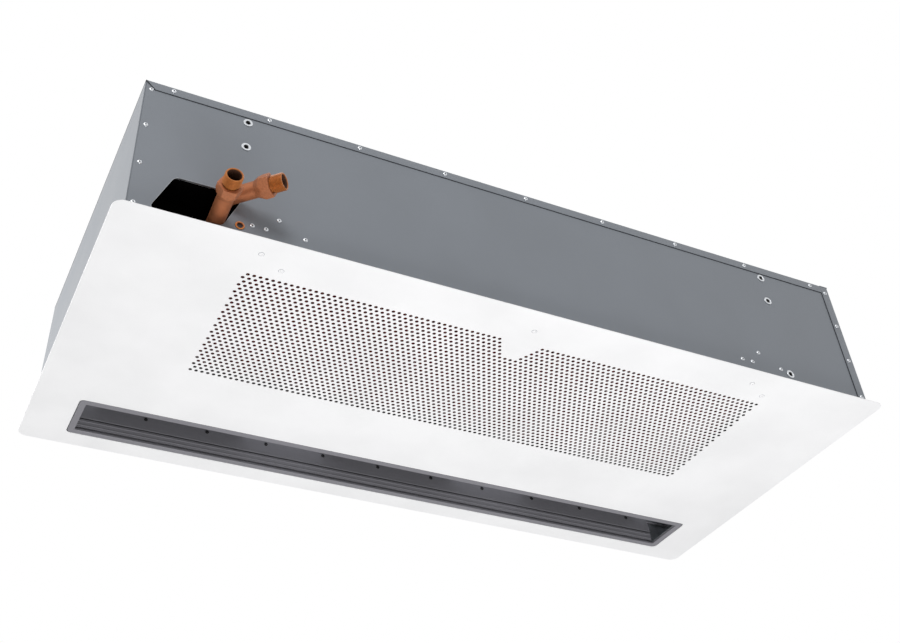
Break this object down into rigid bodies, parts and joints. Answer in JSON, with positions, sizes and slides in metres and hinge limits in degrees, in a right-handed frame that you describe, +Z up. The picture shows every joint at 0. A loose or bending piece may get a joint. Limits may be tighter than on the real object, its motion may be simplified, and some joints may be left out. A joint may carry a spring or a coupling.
{
  "type": "recessed air curtain",
  "caption": "Recessed air curtain: grey sheet-steel casing with copper water pipes, above a white hinged face panel with a perforated intake and a long outlet slot.",
  "frame": {"origin": "middle of the casing's flat top face, which goes against the ceiling structure", "axes": "+Z up, out of the top face; +X along the unit, away from the end where the water pipes come out; +Y across the unit, from the wall with the water pipes to the wall beside the outlet slot"},
  "size_m": [1.5, 0.7851, 0.2987],
  "materials": {
    "casing_paint": "grey powder paint on sheet steel, satin",
    "panel_paint": "white powder paint on sheet steel, smooth satin",
    "profile_aluminium": "natural anodised extrusion, satin",
    "copper": "drawn copper pipe, dull from soldering heat",
    "fitting_brass": "machined red brass fitting",
    "fins": "thin mill-finish aluminium fins",
    "zinc_steel": "zinc-coated sheet steel",
    "wheel_plastic": "moulded glass-filled plastic, satin",
    "motor_black": "black baked enamel",
    "foam": "closed-cell foam strip, matt",
    "board": "green coated circuit board",
    "gland_plastic": "light grey moulded plastic"
  },
  "bodies": {
    "casing": {"cable_gland_1": "gland_plastic", "cable_gland_2": "gland_plastic", "ceiling_insert_1": "zinc_steel", "ceiling_insert_2": "zinc_steel", "ceiling_insert_3": "zinc_steel", "ceiling_insert_4": "zinc_steel", "coil_end_left": "zinc_steel", "coil_end_right": "zinc_steel", "coil_shelf": "zinc_steel", "control_board": "board", "control_box": "casing_paint", "control_box_lid": "zinc_steel", "drain_nipple": "copper", "fan_housing_1": "zinc_steel", "fan_housing_2": "zinc_steel", "fan_housing_3": "zinc_steel", "fan_motor_1": "motor_black", "fan_motor_2": "motor_black", "fan_motor_3": "motor_black", "fan_shelf": "zinc_steel", "fin_pack": "fins", "guide_profile_far": "profile_aluminium", "guide_profile_near": "profile_aluminium", "hinge_pin_left": "zinc_steel", "hinge_pin_right": "zinc_steel", "hinge_wall_leaf_left": "zinc_steel", "hinge_wall_leaf_right": "zinc_steel", "left_side": "casing_paint", "lower_fitting": "fitting_brass", "lower_header": "copper", "lower_pipe": "copper", "motor_bracket_1": "zinc_steel", "motor_bracket_2": "zinc_steel", "motor_bracket_3": "zinc_steel", "outlet_duct": "casing_paint", "outlet_frame": "profile_aluminium", "panel_catch_left": "zinc_steel", "panel_catch_right": "zinc_steel", "panel_gasket": "foam", "pipe_wall": "casing_paint", "right_side": "casing_paint", "slot_wall": "casing_paint", "top_cover": "casing_paint", "upper_fitting": "fitting_brass", "upper_header": "copper", "upper_pipe": "copper", "wall_insert_1": "zinc_steel", "wall_insert_2": "zinc_steel", "wall_insert_3": "zinc_steel", "wall_insert_4": "zinc_steel", "wall_insert_5": "zinc_steel"},
    "panel": {"face_panel": "panel_paint", "hinge_panel_leaf_left": "zinc_steel", "hinge_panel_leaf_right": "zinc_steel"},
    "vane": {"guide_vane": "profile_aluminium"},
    "wheel_1": {"fan_wheel_1": "wheel_plastic"},
    "wheel_2": {"fan_wheel_2": "wheel_plastic"},
    "wheel_3": {"fan_wheel_3": "wheel_plastic"}
  },
  "joints": [
    {"name": "face_panel_hinge", "type": "hinge", "parent": "casing", "child": "panel", "pos_m": [0, -0.3407, -0.2908], "axis": [1, 0, 0], "range_deg": [-85, 0]},
    {"name": "guide_vane_hinge", "type": "hinge", "parent": "casing", "child": "vane", "pos_m": [0, 0.3018, -0.24], "axis": [1, 0, 0], "range_deg": [-15, 0]},
    {"name": "fan_1_spin", "type": "hinge", "parent": "casing", "child": "wheel_1", "pos_m": [-0.47, 0.15, -0.14066], "axis": [1, 0, 0], "continuous": true},
    {"name": "fan_2_spin", "type": "hinge", "parent": "casing", "child": "wheel_2", "pos_m": [0, 0.15, -0.14066], "axis": [1, 0, 0], "continuous": true},
    {"name": "fan_3_spin", "type": "hinge", "parent": "casing", "child": "wheel_3", "pos_m": [0.47, 0.15, -0.14066], "axis": [1, 0, 0], "continuous": true}
  ]
}
